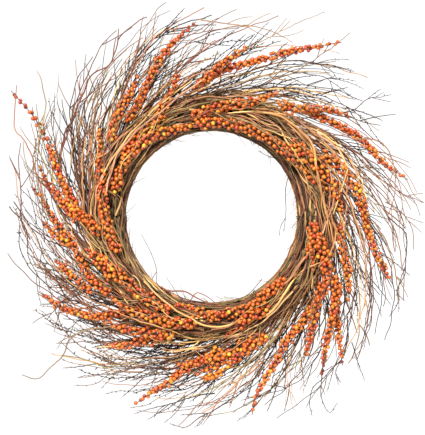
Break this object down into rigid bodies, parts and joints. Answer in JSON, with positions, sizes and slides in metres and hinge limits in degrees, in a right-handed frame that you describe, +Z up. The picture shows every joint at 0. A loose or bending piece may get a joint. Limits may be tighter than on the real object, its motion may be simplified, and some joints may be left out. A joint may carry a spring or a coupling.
{
  "type": "door wreath",
  "caption": "Round harvest door wreath: berry sprays, twigs and vines swirl clockwise round a bound twig ring on a wire frame with a hanger loop.",
  "frame": {"origin": "where a hook bears inside the top of the hanger loop", "axes": "+Z up, the wreath faces -Y and its back is towards +Y and the door, +X to the right as seen from the front"},
  "size_m": [0.6035, 0.099, 0.6187],
  "materials": {
    "base_twigs": "rough dry bark, straw and olive brown",
    "dark_twigs": "matte speckled bark, dark brown with a purple tint",
    "tan_vines": "peeled vine, golden tan, satin",
    "berries": "satin berries from red-orange to yellow-orange on brown stems",
    "frame_wire": "dark brown coated wire, slightly worn",
    "binding_wire": "dark green-brown florist's wire"
  },
  "bodies": {
    "wreath": {"frame_ring_inner": "frame_wire", "frame_ring_outer": "frame_wire", "frame_cross_wire_1": "frame_wire", "frame_cross_wire_2": "frame_wire", "frame_cross_wire_3": "frame_wire", "frame_cross_wire_4": "frame_wire", "base_hank_1": "base_twigs", "base_hank_2": "base_twigs", "base_hank_3": "base_twigs", "base_hank_4": "base_twigs", "binding_wire_1": "binding_wire", "binding_wire_2": "binding_wire", "binding_wire_3": "binding_wire", "binding_wire_4": "binding_wire", "binding_wire_5": "binding_wire", "binding_wire_6": "binding_wire", "twig_branch_01": "dark_twigs", "twig_branch_02": "dark_twigs", "twig_branch_03": "dark_twigs", "twig_branch_04": "dark_twigs", "twig_branch_05": "dark_twigs", "twig_branch_06": "dark_twigs", "twig_branch_07": "dark_twigs", "twig_branch_08": "dark_twigs", "twig_branch_09": "dark_twigs", "twig_branch_10": "dark_twigs", "berry_spray_01": "berries", "berry_spray_02": "berries", "berry_spray_03": "berries", "berry_spray_04": "berries", "berry_spray_05": "berries", "berry_spray_06": "berries", "berry_spray_07": "berries", "berry_spray_08": "berries", "berry_spray_09": "berries", "berry_spray_10": "berries", "berry_spray_11": "berries", "berry_spray_12": "berries", "berry_spray_13": "berries", "berry_spray_14": "berries", "berry_spray_15": "berries", "berry_spray_16": "berries", "berry_spray_17": "berries", "berry_spray_18": "berries", "berry_spray_19": "berries", "berry_spray_20": "berries", "berry_spray_21": "berries", "berry_spray_22": "berries", "berry_spray_23": "berries", "berry_spray_24": "berries", "berry_spray_25": "berries", "berry_spray_26": "berries", "berry_spray_27": "berries", "berry_spray_28": "berries", "berry_spray_29": "berries", "berry_spray_30": "berries", "tan_vine_1": "tan_vines", "tan_vine_2": "tan_vines", "tan_vine_3": "tan_vines"},
    "hanger": {"hanger_loop": "frame_wire"}
  },
  "joints": [
    {"name": "hanger_swing", "type": "hinge", "parent": "wreath", "child": "hanger", "pos_m": [0, 0.00363, -0.05187], "axis": [-1, 0, 0], "range_deg": [0, 165]}
  ]
}
